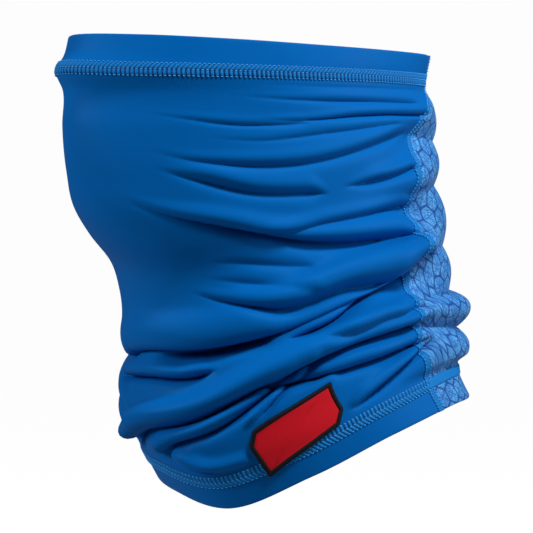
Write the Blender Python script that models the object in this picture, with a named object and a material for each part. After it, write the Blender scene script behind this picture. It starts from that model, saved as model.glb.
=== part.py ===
"""Cooling neck gaiter as a head and neck fill it, built as separate cloth pieces.

The wearer faces -Y, the wearer's left side is +X and up is +Z. The origin is the
middle of the top opening. Every piece is a stretch of one tube of cloth, placed by
two values: turn, the angle in degrees from the middle of the face towards the
wearer's left, and drop, 0 at the top edge and 1 at the bottom edge.
"""

import bmesh
import bpy
import numpy as np

# Sizes in metres
HALF_WIDTH = 0.079
FRONT_REACH = 0.110
BACK_REACH = 0.118
NOSE_BUMP = 0.010
LENGTH = 0.265
TOP_DIP = 0.0075
CLOTH_WALL = 0.0012
HEM_WALL = 0.0022
TOP_HEM = 0.0195
BOTTOM_HEM = 0.0150
PIECE_GAP = 0.0003
STITCH_WIDTH = 0.0078
STITCH_THICKNESS = 0.0010
SEAM_WIDTH = 0.0052
SEAM_THICKNESS = 0.0008
PATCH_LENGTH = 0.055
PATCH_WIDTH = 0.026
PATCH_CORNER_CUT = 0.0065
PATCH_BORDER = 0.0032
PATCH_THICKNESS = 0.0011
PATCH_MARGIN = 0.005
PATCH_CALM = 0.008
FOLD_SIZE = 0.010
BACK_ROLL = 0.008

# Angles in degrees
NOSE_SPREAD = 22.0
BACK_PANEL_ANGLE = 104.0
PATCH_TURN = 64.0
PATCH_TILT = 36.0

# Shares and counts
PATCH_DROP = 0.893
HEM_FADE = 0.03
PANEL_ROWS = 41
HEM_ROWS = 2
FRONT_COLUMNS = 29
BACK_COLUMNS = 12
PATCH_COLUMNS = 10
PATCH_ROWS = 6
CORNER_STEPS = 2

# Level rings of the tube, as shares of HALF_WIDTH, FRONT_REACH, BACK_REACH and NOSE_BUMP
# drop, half_width, front, back, nose
SECTIONS = (
    (0.000, 0.99, 0.96, 0.95, 0.8),
    (0.045, 1.00, 0.99, 0.93, 0.8),
    (0.075, 1.00, 1.02, 0.92, 1.0),
    (0.120, 1.00, 0.98, 0.92, 1.0),
    (0.200, 1.00, 0.99, 0.96, 0.9),
    (0.300, 0.99, 0.98, 0.97, 0.7),
    (0.380, 0.96, 0.95, 0.98, 0.5),
    (0.440, 0.94, 0.87, 1.00, 0.3),
    (0.500, 0.91, 0.76, 1.02, 0.1),
    (0.570, 0.94, 0.72, 1.03, 0.0),
    (0.660, 0.99, 0.72, 1.05, 0.0),
    (0.760, 1.01, 0.70, 1.08, 0.0),
    (0.850, 1.04, 0.71, 1.09, 0.0),
    (0.930, 1.05, 0.60, 1.10, 0.0),
    (1.000, 1.06, 0.45, 1.16, 0.0),
)

# Heights of the two open edges around the tube
# turn, top as a share of TOP_DIP, bottom as a share of LENGTH
EDGES = (
    (0, 0.00, 0.97),
    (30, 0.20, 1.00),
    (60, 0.55, 0.93),
    (90, 0.87, 0.845),
    (120, 1.00, 0.79),
    (150, 0.95, 0.775),
    (180, 0.87, 0.766),
    (210, 0.95, 0.77),
    (240, 1.00, 0.785),
    (270, 0.87, 0.815),
    (300, 0.55, 0.86),
    (330, 0.20, 0.93),
)

# Turn of the seam on the wearer's left, and how far it sways in and out there and on the
# far side, as shares of FOLD_SIZE
# drop, seam_turn, near_sway, far_sway
SEAM_LINE = (
    (0.000, 152, 0.0, 0.0),
    (0.100, 149, 0.0, 0.0),
    (0.165, 137, 0.2, 0.1),
    (0.235, 130, -0.5, -0.2),
    (0.375, 126, 0.3, 0.4),
    (0.455, 123, -0.6, -0.5),
    (0.550, 120, 0.6, 0.5),
    (0.645, 114, -0.6, -0.5),
    (0.720, 112, 0.2, 0.3),
    (0.765, 111, -0.1, -0.2),
    (0.850, 112, 0.2, 0.2),
    (0.930, 113, 0.0, 0.0),
    (1.000, 113, 0.0, 0.0),
)

# Pinches between the rolls of the back panel, and how far the roll under each stands out,
# as shares of BACK_ROLL
# near_drop, middle_drop, far_drop, near_roll, middle_roll, far_roll
BACK_ROLLS = (
    (0.100, 0.110, 0.105, 0.3, 0.5, 0.3),
    (0.235, 0.260, 0.250, 0.4, 0.5, 0.4),
    (0.400, 0.375, 0.390, 0.4, 0.6, 0.4),
    (0.560, 0.555, 0.540, 0.3, 0.5, 0.4),
    (0.700, 0.690, 0.680, 0.5, 1.4, 0.6),
    (0.765, 0.800, 0.790, 0.4, 0.9, 0.5),
    (0.925, 0.905, 0.915, 0.0, 0.0, 0.0),
)

# Folds of the cloth. Each crease runs through four places; its ridge stands above it by
# width. Width, ridge, valley and lap (how far the ridge hangs over the crease) are shares
# of FOLD_SIZE
# turn and drop of the start, two places between and the end, width, ridge, valley, lap
FOLDS = (
    (45, 0.128, 75, 0.141, 105, 0.145, 142, 0.147, 0.45, 0.10, 0.16, 0.0),
    (66, 0.186, 85, 0.190, 100, 0.181, 138, 0.177, 0.45, 0.12, 0.22, 0.1),
    (28, 0.168, 45, 0.185, 60, 0.203, 86, 0.205, 0.45, 0.12, 0.12, 0.0),
    (40, 0.212, 65, 0.231, 90, 0.222, 136, 0.190, 0.60, 0.12, 0.16, 0.0),
    (28, 0.232, 50, 0.274, 75, 0.300, 134, 0.212, 0.70, 0.15, 0.20, 0.0),
    (34, 0.280, 50, 0.318, 65, 0.355, 90, 0.380, 0.80, 0.16, 0.20, 0.0),
    (94, 0.368, 104, 0.362, 114, 0.352, 130, 0.325, 0.50, 0.16, 0.22, 0.0),
    (54, 0.402, 75, 0.425, 95, 0.417, 130, 0.417, 0.60, 0.16, 0.22, 0.0),
    (22, 0.345, 50, 0.415, 80, 0.492, 128, 0.517, 0.75, 0.26, 0.30, 0.1),
    (32, 0.540, 60, 0.605, 88, 0.590, 136, 0.566, 0.80, 0.45, 0.55, 0.2),
    (-16, 0.692, 20, 0.674, 62, 0.672, 124, 0.585, 1.00, 0.55, 0.85, 0.2),
    (70, 0.705, 84, 0.718, 97, 0.713, 118, 0.716, 0.60, 0.20, 0.25, 0.0),
    (-16, 0.908, 20, 0.818, 60, 0.762, 120, 0.748, 0.75, 0.40, 0.50, 0.1),
    (6, 0.905, 25, 0.848, 42, 0.822, 64, 0.772, 0.65, 0.24, 0.28, 0.0),
    (44, 0.880, 52, 0.850, 61, 0.800, 74, 0.758, 0.65, 0.20, 0.24, 0.0),
    (58, 0.786, 76, 0.828, 94, 0.824, 118, 0.800, 0.65, 0.30, 0.40, 0.0),
    (120, 0.804, 105, 0.853, 92, 0.888, 76, 0.916, 0.55, 0.20, 0.30, 0.0),
    (2, 0.915, 18, 0.906, 32, 0.934, 52, 0.945, 0.70, 0.24, 0.32, 0.0),
    (-150, 0.150, -110, 0.152, -80, 0.160, -48, 0.176, 0.50, 0.12, 0.16, 0.0),
    (-140, 0.230, -100, 0.262, -70, 0.280, -34, 0.250, 0.70, 0.14, 0.20, 0.0),
    (-136, 0.400, -95, 0.412, -65, 0.392, -34, 0.350, 0.65, 0.16, 0.22, 0.0),
    (-132, 0.522, -90, 0.512, -60, 0.462, -24, 0.380, 0.75, 0.26, 0.30, 0.1),
    (-142, 0.570, -95, 0.588, -65, 0.606, -34, 0.558, 0.80, 0.40, 0.45, 0.2),
    (-130, 0.640, -70, 0.668, -30, 0.680, 2, 0.684, 0.95, 0.42, 0.60, 0.3),
    (-128, 0.745, -70, 0.756, -25, 0.806, 2, 0.862, 0.75, 0.34, 0.40, 0.2),
    (-124, 0.806, -95, 0.832, -72, 0.830, -46, 0.802, 0.60, 0.28, 0.40, 0.1),
    (-58, 0.790, -40, 0.836, -22, 0.872, -2, 0.912, 0.50, 0.24, 0.30, 0.0),
    (-122, 0.872, -88, 0.900, -60, 0.898, -28, 0.925, 0.55, 0.22, 0.30, 0.0),
)

# Colour and roughness of each material
MATERIALS = {
    "front_knit": ((0.010, 0.150, 0.520, 1.0), 0.50),
    "back_knit": ((0.150, 0.400, 0.820, 1.0), 0.60),
    "blue_thread": ((0.030, 0.210, 0.600, 1.0), 0.60),
    "patch_red": ((0.640, 0.012, 0.025, 1.0), 0.55),
    "patch_black": ((0.012, 0.012, 0.018, 1.0), 0.60),
}

BOTTOM_LEVEL = 1.0 - BOTTOM_HEM / LENGTH
STEP_TURN = 0.05
STEP_DROP = 0.0004


def smooth_column(places, values, at, period=None):
    """Reads a table's column as a smooth curve that passes through every row."""
    places = np.asarray(places, float)
    values = np.asarray(values, float)
    if period:
        at = np.mod(at, period)
        places = np.concatenate([places - period, places, places + period])
        values = np.concatenate([values, values, values])
    at = np.clip(at, places[0], places[-1])
    slopes = np.gradient(values, places)
    i = np.clip(np.searchsorted(places, at, side="right") - 1, 0, len(places) - 2)
    span = places[i + 1] - places[i]
    t = (at - places[i]) / span
    return (
        (2 * t**3 - 3 * t**2 + 1) * values[i]
        + (t**3 - 2 * t**2 + t) * span * slopes[i]
        + (3 * t**2 - 2 * t**3) * values[i + 1]
        + (t**3 - t**2) * span * slopes[i + 1]
    )


def column(table, key, value, at, period=None):
    """The value column of a table against its key column."""
    rows = np.array(table, float)
    return smooth_column(rows[:, key], rows[:, value], at, period)


def ease(x):
    """Rises smoothly from 0 at x = 0 to 1 at x = 1."""
    x = np.clip(x, 0.0, 1.0)
    return x * x * (3 - 2 * x)


def wrapped(turn):
    """A turn as an angle from -180 to 180."""
    return np.mod(turn + 180.0, 360.0) - 180.0


def height(turn):
    """Distance from the top edge to the bottom edge at a turn."""
    return LENGTH * column(EDGES, 0, 2, turn, 360) - TOP_DIP * column(EDGES, 0, 1, turn, 360)


def form(turn, drop):
    """The tube without its folds: level rings with a front, a back and a nose."""
    angle = np.radians(turn)
    half_width = HALF_WIDTH * column(SECTIONS, 0, 1, drop)
    front = FRONT_REACH * column(SECTIONS, 0, 2, drop)
    back = BACK_REACH * column(SECTIONS, 0, 3, drop)
    nose = NOSE_BUMP * column(SECTIONS, 0, 4, drop)
    x = half_width * np.sin(angle)
    y = (back - front) / 2 - (back + front) / 2 * np.cos(angle)
    y = y - nose * np.exp(-((wrapped(turn) / NOSE_SPREAD) ** 2))
    z = -TOP_DIP * column(EDGES, 0, 1, turn, 360) - height(turn) * drop
    return np.stack([x, y, z], axis=-1)


def normal_of(surface, turn, drop):
    """Unit normal of a surface of turn and drop, pointing away from the head."""
    along = surface(turn + STEP_TURN, drop) - surface(turn - STEP_TURN, drop)
    down = surface(turn, drop + STEP_DROP) - surface(turn, drop - STEP_DROP)
    normal = np.cross(down, along)
    return normal / np.linalg.norm(normal, axis=-1, keepdims=True)


def near_seam(drop):
    """Turn of the seam on the wearer's left."""
    return column(SEAM_LINE, 0, 1, drop)


def far_seam(drop):
    """Turn of the seam on the wearer's right, past the back panel."""
    return near_seam(drop) + BACK_PANEL_ANGLE


def top_stitch(turn):
    """Drop of the middle of the top cover stitch."""
    return TOP_HEM / LENGTH + 0.0 * turn


def bottom_stitch(turn):
    """Drop of the middle of the bottom cover stitch, a little higher at the back."""
    rise = ease((np.abs(wrapped(turn)) - 50.0) / 100.0)
    return 1.0 - BOTTOM_HEM / LENGTH * (1.0 + 0.45 * rise)


def stitch_edges(turn):
    """Drops of the upper and lower edges of both cover stitches at a turn."""
    half = STITCH_WIDTH / 2 / height(turn)
    top = top_stitch(turn)
    bottom = bottom_stitch(turn)
    return top - half, top + half, bottom - half, bottom + half


def fold_reach(turn, drop):
    """How far the folds move the cloth out, and how far they slide it down, in metres."""
    out = np.zeros(np.broadcast(turn, drop).shape)
    slide = np.zeros_like(out)
    turn = wrapped(turn)
    length = height(turn)
    for row in FOLDS:
        turns = np.array(row[0:8:2], float)
        drops = np.array(row[1:8:2], float)
        width, ridge, valley, lap = (FOLD_SIZE * share for share in row[8:])
        if turns[0] > turns[-1]:
            turns, drops = turns[::-1], drops[::-1]
        along = (turn - turns[0]) / (turns[-1] - turns[0])
        fade = ease(along / 0.22) * ease((1 - along) / 0.22)
        below = (drop - smooth_column(turns, drops, turn)) * length / width
        out += fade * ridge * np.exp(-(((below + 1.0) / 0.8) ** 2))
        out -= fade * valley * np.exp(-((below / 0.5) ** 2))
        slide += fade * lap * np.exp(-(((below + 0.6) / 0.6) ** 2))
    return out, slide


def back_reach(turn, drop):
    """How far the rolls of the back panel and the sway of its seams move the cloth out."""
    turn = np.mod(turn, 360.0)
    near = near_seam(drop)
    across = (turn - near) / BACK_PANEL_ANGLE
    rows = np.array(BACK_ROLLS, float)
    bend = np.clip(across, 0.0, 1.0)
    weight = np.stack([(1 - bend) * (1 - 2 * bend), 4 * bend * (1 - bend), bend * (2 * bend - 1)])
    roll = np.zeros(np.broadcast(turn, drop).shape)
    for upper, lower in zip(rows[:-1], rows[1:]):
        start = np.tensordot(upper[0:3], weight, 1)
        end = np.tensordot(lower[0:3], weight, 1)
        share = np.clip((drop - start) / (end - start), 0.0, 1.0)
        roll += BACK_ROLL * np.tensordot(upper[3:6], weight, 1) * np.sin(np.pi * share) ** 0.9
    roll *= ease((across + 0.12) / 0.2) * ease((1.12 - across) / 0.2)
    near_sway = FOLD_SIZE * column(SEAM_LINE, 0, 2, drop)
    far_sway = FOLD_SIZE * column(SEAM_LINE, 0, 3, drop)
    sway = near_sway * np.exp(-((across / 0.13) ** 2))
    sway = sway + far_sway * np.exp(-(((across - 1.0) / 0.13) ** 2))
    return roll + sway


def patch_frame():
    """Turn and drop of a metre along the patch and across it, as the columns of a matrix."""
    turn = np.array(PATCH_TURN)
    drop = np.array(PATCH_DROP)
    sideways = (form(turn + STEP_TURN, drop) - form(turn - STEP_TURN, drop)) / (2 * STEP_TURN)
    down = (form(turn, drop + STEP_DROP) - form(turn, drop - STEP_DROP)) / (2 * STEP_DROP)
    normal = np.cross(down, sideways)
    normal = normal / np.linalg.norm(normal)
    level = np.cross((0.0, 0.0, 1.0), normal)
    level = level / np.linalg.norm(level)
    upright = np.cross(normal, level)
    tilt = np.radians(PATCH_TILT)
    long_way = np.cos(tilt) * level + np.sin(tilt) * upright
    short_way = -np.sin(tilt) * level + np.cos(tilt) * upright
    steps = np.linalg.pinv(np.stack([sideways, down], axis=1))
    return steps @ np.stack([long_way, short_way], axis=1)


def patch_calm(turn, drop):
    """0 on the cloth that the patch holds flat and on its margin, rising to 1 beyond them."""
    offset = np.stack(np.broadcast_arrays(wrapped(turn) - PATCH_TURN, drop - PATCH_DROP), axis=-1)
    place = np.abs(offset @ np.linalg.inv(patch_frame()).T)
    beyond = np.maximum(place - (PATCH_LENGTH / 2, PATCH_WIDTH / 2), 0.0)
    return ease((np.linalg.norm(beyond, axis=-1) - PATCH_MARGIN) / PATCH_CALM)


def cloth(turn, drop):
    """The middle of the folded cloth."""
    out, slide = fold_reach(turn, drop)
    calm = patch_calm(turn, drop)
    _, high, low, _ = stitch_edges(turn)
    hem = ease((drop - high) / HEM_FADE) * ease((low - drop) / HEM_FADE)
    out = (out * calm + back_reach(turn, drop)) * hem
    slide = slide * calm * hem
    point = form(turn, drop + slide / height(turn))
    return point + normal_of(form, turn, drop) * out[..., None]


def layer(turn, drop, offset):
    """The cloth moved out by an offset along its normal."""
    return cloth(turn, drop) + normal_of(cloth, turn, drop) * np.asarray(offset)[..., None]


def front_turn(share, drop):
    """Turn of a place across the front panel, from the far seam to the near one."""
    return far_seam(drop) - 360.0 + share * (360.0 - BACK_PANEL_ANGLE)


def back_turn(share, drop):
    """Turn of a place across the back panel, from the near seam to the far one."""
    return near_seam(drop) + share * BACK_PANEL_ANGLE


def degrees_for(distance):
    """Turn that a distance along a level ring takes at the sides of the tube."""
    return np.degrees(distance / HALF_WIDTH)


def add_solid(name, inner, outer, closed_ring, material):
    """Joins an inner and an outer grid of points into one closed solid."""
    mesh = bpy.data.meshes.new(name)
    piece = bpy.data.objects.new(name, mesh)
    bpy.context.scene.collection.objects.link(piece)
    work = bmesh.new()
    rows, columns = inner.shape[:2]
    sides = []
    for grid in (inner, outer):
        sides.append([[work.verts.new(grid[i, j]) for j in range(columns)] for i in range(rows)])
    across = range(columns if closed_ring else columns - 1)
    for i in range(rows - 1):
        for j in across:
            k = (j + 1) % columns
            for side in sides:
                work.faces.new((side[i][j], side[i][k], side[i + 1][k], side[i + 1][j]))
    low, high = sides
    for j in across:
        k = (j + 1) % columns
        for i in (0, rows - 1):
            work.faces.new((low[i][j], low[i][k], high[i][k], high[i][j]))
    if not closed_ring:
        for i in range(rows - 1):
            for j in (0, columns - 1):
                work.faces.new((low[i][j], low[i + 1][j], high[i + 1][j], high[i][j]))
    bmesh.ops.recalc_face_normals(work, faces=work.faces)
    work.to_mesh(mesh)
    work.free()
    mesh.shade_smooth()
    mesh.set_sharp_from_angle(angle=np.radians(50.0))
    mesh.materials.append(material)
    return piece


def add_sheet(name, turns, drops, wall, material, closed_ring=False, lift=0.0):
    """A piece of cloth whose outer face lies lift above the outer face of the panels."""
    outer = np.full(np.broadcast(turns, drops).shape, CLOTH_WALL / 2 + lift)
    return add_solid(
        name,
        layer(turns, drops, outer - wall),
        layer(turns, drops, outer),
        closed_ring,
        material,
    )


def column_shares(angle, columns):
    """Places across a panel from one seam ribbon's edge to the other's."""
    ribbon = degrees_for(SEAM_WIDTH / 2) / angle
    return np.linspace(ribbon, 1.0 - ribbon, columns - 1)


def sheet_shares(angle, columns):
    """Places across a sheet, each of its edges half a gap from the seam's middle."""
    edge = degrees_for(PIECE_GAP / 2) / angle
    return np.concatenate([[edge], column_shares(angle, columns), [1.0 - edge]])


def material_named(name):
    """One Principled material."""
    colour, roughness = MATERIALS[name]
    material = bpy.data.materials.new(name)
    material.use_nodes = True
    shader = material.node_tree.nodes["Principled BSDF"]
    shader.inputs["Base Color"].default_value = colour
    shader.inputs["Roughness"].default_value = roughness
    shader.inputs["Metallic"].default_value = 0.0
    material.diffuse_color = colour
    return material


def rows_between(top, bottom, count):
    """Drops of a grid's rows, from top to bottom in count equal steps."""
    return top + (bottom - top) * np.linspace(0.0, 1.0, count + 1)[:, None]


def piece_rows(place, turn):
    """Drops of the rows of the top hem, the panel or the bottom hem in columns at these turns.

    Each has a row at the edge of the cover stitch that covers its joint.
    """
    turn = np.atleast_2d(turn)
    half_gap = PIECE_GAP / 2 / LENGTH
    half = STITCH_WIDTH / 2 / height(turn)
    top = top_stitch(turn)
    bottom = bottom_stitch(turn)
    if place == "top_hem":
        rows = rows_between(0.0 * top, top - half, HEM_ROWS)
        return np.concatenate([rows, top - half_gap])
    if place == "bottom_hem":
        rows = rows_between(bottom + half, 1.0 + 0.0 * bottom, HEM_ROWS)
        return np.concatenate([bottom + half_gap, rows])
    rows = rows_between(top + half, bottom - half, PANEL_ROWS)
    return np.concatenate([top + half_gap, rows, bottom - half_gap])


def add_panels(materials):
    """Front and back panels and the folded hems above and below them."""
    shares = {
        "front": (front_turn, sheet_shares(360.0 - BACK_PANEL_ANGLE, FRONT_COLUMNS)),
        "back": (back_turn, sheet_shares(BACK_PANEL_ANGLE, BACK_COLUMNS)),
    }
    walls = {"top_hem": HEM_WALL, "panel": CLOTH_WALL, "bottom_hem": HEM_WALL}
    for side, (turn_of, across) in shares.items():
        level = turn_of(across, np.array(BOTTOM_LEVEL))
        for place, wall in walls.items():
            drops = piece_rows(place, level)
            knit = materials[side + "_knit"]
            add_sheet(side + "_" + place, turn_of(across, drops), drops, wall, knit)


def add_seams(materials):
    """The flat seams between the panels, each in the three lengths that the stitches part."""
    half = degrees_for(SEAM_WIDTH / 2)
    across = np.array([-half, 0.0, half])
    clear = PIECE_GAP / LENGTH
    for side, seam in (("left", near_seam), ("right", far_seam)):
        level = seam(np.array(BOTTOM_LEVEL)) + across
        lengths = (
            ("upper", piece_rows("top_hem", level)[:-1]),
            ("middle", piece_rows("panel", level)[1:-1]),
            ("lower", piece_rows("bottom_hem", level)[1:]),
        )
        for place, drops in lengths:
            drops[0] += clear
            drops[-1] -= clear
            add_sheet(
                side + "_seam_" + place,
                seam(drops) + across,
                drops,
                SEAM_THICKNESS,
                materials["blue_thread"],
                lift=PIECE_GAP + SEAM_THICKNESS,
            )


def add_stitches(materials):
    """The two cover stitches, each a closed band over the joint between panel and hem."""
    front = np.concatenate([[0.0], column_shares(360.0 - BACK_PANEL_ANGLE, FRONT_COLUMNS)])
    back = np.concatenate([[0.0], column_shares(BACK_PANEL_ANGLE, BACK_COLUMNS)])
    level = np.array(BOTTOM_LEVEL)
    columns = np.concatenate([front_turn(front, level), back_turn(back, level)])
    for place, middle in (("top", top_stitch), ("bottom", bottom_stitch)):
        half = STITCH_WIDTH / 2 / height(columns)
        drops = middle(columns) + half * np.array([[-1.0], [0.0], [1.0]])
        turns = [front_turn(front, drops[:, : len(front)]), back_turn(back, drops[:, len(front) :])]
        add_sheet(
            place + "_cover_stitch",
            np.concatenate(turns, axis=1),
            drops,
            STITCH_THICKNESS,
            materials["blue_thread"],
            closed_ring=True,
            lift=PIECE_GAP + STITCH_THICKNESS,
        )


def patch_place(along, across):
    """Turn and drop of a place on the patch, given in metres along and across it."""
    steps = np.stack([along, across], axis=-1) @ patch_frame().T
    return PATCH_TURN + steps[..., 0], PATCH_DROP + steps[..., 1]


def patch_lift(turn, drop):
    """Lift that carries the patch over the bottom cover stitch where it reaches it."""
    edge = bottom_stitch(turn) - STITCH_WIDTH / 2 / height(turn)
    return (STITCH_THICKNESS + PIECE_GAP) * ease((drop - edge + 0.030) / 0.022)


def patch_outline(inset, steps):
    """Closed outline of the patch: a rectangle with two opposite corners cut off."""
    long_half = PATCH_LENGTH / 2 - inset
    short_half = PATCH_WIDTH / 2 - inset
    cut = PATCH_CORNER_CUT - inset * (2.0 - np.sqrt(2.0))
    corners = np.array(
        [
            (-long_half, -short_half),
            (long_half - cut, -short_half),
            (long_half, -short_half + cut),
            (long_half, short_half),
            (-long_half + cut, short_half),
            (-long_half, short_half - cut),
        ]
    )
    places = []
    for start, end, count in zip(corners, np.roll(corners, -1, axis=0), steps):
        places.append(start + (end - start) * (np.arange(count) / count)[:, None])
    return np.concatenate(places)


def add_patch(materials):
    """The patch: a plain woven face inside a stitched border."""
    steps = (PATCH_COLUMNS, CORNER_STEPS, PATCH_ROWS) * 2
    bottom = CLOTH_WALL / 2 + PIECE_GAP
    outer_edge = patch_outline(0.0, steps)
    inner_edge = patch_outline(PATCH_BORDER, steps)
    rings = np.stack([outer_edge, inner_edge])
    turns, drops = patch_place(rings[..., 0], rings[..., 1])
    lift = bottom + patch_lift(turns, drops)
    add_solid(
        "patch_border",
        layer(turns, drops, lift),
        layer(turns, drops, lift + PATCH_THICKNESS),
        True,
        materials["patch_black"],
    )
    edge = patch_outline(PATCH_BORDER + PIECE_GAP, steps)
    rings = edge[None] * np.array([1.0, 0.7, 0.4, 0.12])[:, None, None]
    turns, drops = patch_place(rings[..., 0], rings[..., 1])
    lift = bottom + patch_lift(turns, drops)
    low = layer(turns, drops, lift)
    high = layer(turns, drops, lift + PATCH_THICKNESS)
    add_plate("patch_face", low, high, materials["patch_red"])


def add_plate(name, low, high, material):
    """A solid plate from two stacks of shrinking rings, each closed by a middle point."""
    mesh = bpy.data.meshes.new(name)
    piece = bpy.data.objects.new(name, mesh)
    bpy.context.scene.collection.objects.link(piece)
    work = bmesh.new()
    rims = []
    for grid in (low, high):
        rings = [[work.verts.new(point) for point in ring] for ring in grid]
        middle = work.verts.new(grid[-1].mean(axis=0))
        count = len(rings[0])
        for outer, inner in zip(rings[:-1], rings[1:]):
            for j in range(count):
                k = (j + 1) % count
                work.faces.new((outer[j], outer[k], inner[k], inner[j]))
        for j in range(count):
            work.faces.new((rings[-1][j], rings[-1][(j + 1) % count], middle))
        rims.append(rings[0])
    for j in range(len(rims[0])):
        k = (j + 1) % len(rims[0])
        work.faces.new((rims[0][j], rims[0][k], rims[1][k], rims[1][j]))
    bmesh.ops.recalc_face_normals(work, faces=work.faces)
    work.to_mesh(mesh)
    work.free()
    mesh.shade_smooth()
    mesh.set_sharp_from_angle(angle=np.radians(50.0))
    mesh.materials.append(material)
    return piece


def main():
    """Clears the scene and builds every piece."""
    for old in list(bpy.data.objects):
        bpy.data.objects.remove(old)
    materials = {name: material_named(name) for name in MATERIALS}
    add_panels(materials)
    add_seams(materials)
    add_stitches(materials)
    add_patch(materials)


if __name__ == "__main__":
    main()
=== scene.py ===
"""Dresses the worn neck gaiter: folded knit cloth, printed back, seams, stitches and patch.

The wearer faces -Y, the wearer's left side is +X and up is +Z. A place on the cloth is
given by its turn, the angle in degrees from the middle of the face towards the wearer's
left, and by its drop, 0 at the top edge and 1 at the bottom edge.
"""

import bpy
import numpy as np
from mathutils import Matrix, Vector


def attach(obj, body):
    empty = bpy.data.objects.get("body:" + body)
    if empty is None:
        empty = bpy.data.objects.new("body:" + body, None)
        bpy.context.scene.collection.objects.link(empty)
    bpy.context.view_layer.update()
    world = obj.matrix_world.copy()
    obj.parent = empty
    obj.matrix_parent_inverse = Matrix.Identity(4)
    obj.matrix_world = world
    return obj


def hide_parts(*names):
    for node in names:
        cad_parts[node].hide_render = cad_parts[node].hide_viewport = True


bl_info = {
    "name": "Neck Gaiter",
    "version": (1, 0, 0),
    "blender": (4, 5, 0),
    "location": "View3D > Sidebar > Gaiter",
    "description": "Builds a worn neck gaiter piece by piece",
    "category": "Add Mesh",
}

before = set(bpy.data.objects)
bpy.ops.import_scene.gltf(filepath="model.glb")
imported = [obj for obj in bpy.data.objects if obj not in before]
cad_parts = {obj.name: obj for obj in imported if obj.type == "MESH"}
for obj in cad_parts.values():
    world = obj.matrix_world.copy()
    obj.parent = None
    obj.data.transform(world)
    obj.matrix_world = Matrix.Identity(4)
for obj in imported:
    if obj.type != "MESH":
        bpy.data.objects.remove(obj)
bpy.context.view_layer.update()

# Sizes of the cloth form in metres, the same as the solids'
HALF_WIDTH = 0.079
FRONT_REACH = 0.110
BACK_REACH = 0.118
NOSE_BUMP = 0.010
LENGTH = 0.265
TOP_DIP = 0.0075
CLOTH_WALL = 0.0012
HEM_WALL = 0.0022
TOP_HEM = 0.0195
BOTTOM_HEM = 0.0150
STITCH_WIDTH = 0.0078
SEAM_WIDTH = 0.0052
PATCH_LENGTH = 0.055
PATCH_WIDTH = 0.026
PATCH_CORNER_CUT = 0.0065
PATCH_BORDER = 0.0029
PATCH_MARGIN = 0.002
PATCH_CALM = 0.005
FOLD_SIZE = 0.010
BACK_ROLL = 0.008
NOSE_SPREAD = 22.0
BACK_PANEL_ANGLE = 104.0
PATCH_TURN = 61.8
PATCH_TILT = 34.0
PATCH_DROP = 0.893
HEM_FADE = 0.03

# Level rings of the tube, as shares of HALF_WIDTH, FRONT_REACH, BACK_REACH and NOSE_BUMP
# drop, half_width, front, back, nose
SECTIONS = (
    (0.000, 0.99, 0.96, 0.95, 0.8),
    (0.045, 1.00, 0.99, 0.93, 0.8),
    (0.075, 1.00, 1.02, 0.92, 1.0),
    (0.120, 1.00, 0.98, 0.92, 1.0),
    (0.200, 1.00, 0.99, 0.96, 0.9),
    (0.300, 0.99, 0.98, 0.97, 0.7),
    (0.380, 0.96, 0.95, 0.98, 0.5),
    (0.440, 0.94, 0.87, 1.00, 0.3),
    (0.500, 0.91, 0.76, 1.02, 0.1),
    (0.570, 0.94, 0.70, 1.03, 0.0),
    (0.660, 0.98, 0.67, 1.04, 0.0),
    (0.760, 1.01, 0.65, 1.08, 0.0),
    (0.850, 1.04, 0.66, 1.10, 0.0),
    (0.930, 1.05, 0.55, 1.10, 0.0),
    (1.000, 1.06, 0.45, 1.16, 0.0),
)

# Heights of the two open edges around the tube
# turn, top as a share of TOP_DIP, bottom as a share of LENGTH
EDGES = (
    (0, 0.00, 0.97),
    (30, 0.20, 1.00),
    (60, 0.55, 0.93),
    (90, 0.87, 0.845),
    (120, 1.00, 0.79),
    (150, 0.95, 0.775),
    (180, 0.87, 0.766),
    (210, 0.95, 0.77),
    (240, 1.00, 0.785),
    (270, 0.87, 0.815),
    (300, 0.55, 0.86),
    (330, 0.20, 0.93),
)

# Turn of the seam on the wearer's left, and how far it sways in and out there and on the
# far side, as shares of FOLD_SIZE
# drop, seam_turn, near_sway, far_sway
SEAM_LINE = (
    (0.000, 152, 0.0, 0.0),
    (0.100, 149, 0.0, 0.0),
    (0.165, 137, 0.2, 0.1),
    (0.235, 130, -0.5, -0.2),
    (0.375, 126, 0.3, 0.4),
    (0.455, 123, -0.6, -0.5),
    (0.550, 120, 0.6, 0.5),
    (0.645, 114, -0.6, -0.5),
    (0.720, 112, 0.2, 0.3),
    (0.765, 111, -0.1, -0.2),
    (0.850, 112, 0.2, 0.2),
    (0.930, 113, 0.0, 0.0),
    (1.000, 113, 0.0, 0.0),
)

# Pinches between the rolls of the back panel, and how far the roll under each stands out,
# as shares of BACK_ROLL
# near_drop, middle_drop, far_drop, near_roll, middle_roll, far_roll
BACK_ROLLS = (
    (0.100, 0.110, 0.105, 0.3, 0.5, 0.3),
    (0.235, 0.260, 0.250, 0.4, 0.5, 0.4),
    (0.400, 0.375, 0.390, 0.4, 0.6, 0.4),
    (0.560, 0.555, 0.540, 0.3, 0.5, 0.4),
    (0.700, 0.690, 0.680, 0.5, 1.4, 0.6),
    (0.765, 0.800, 0.790, 0.4, 0.9, 0.5),
    (0.925, 0.905, 0.915, 0.0, 0.0, 0.0),
)

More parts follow.
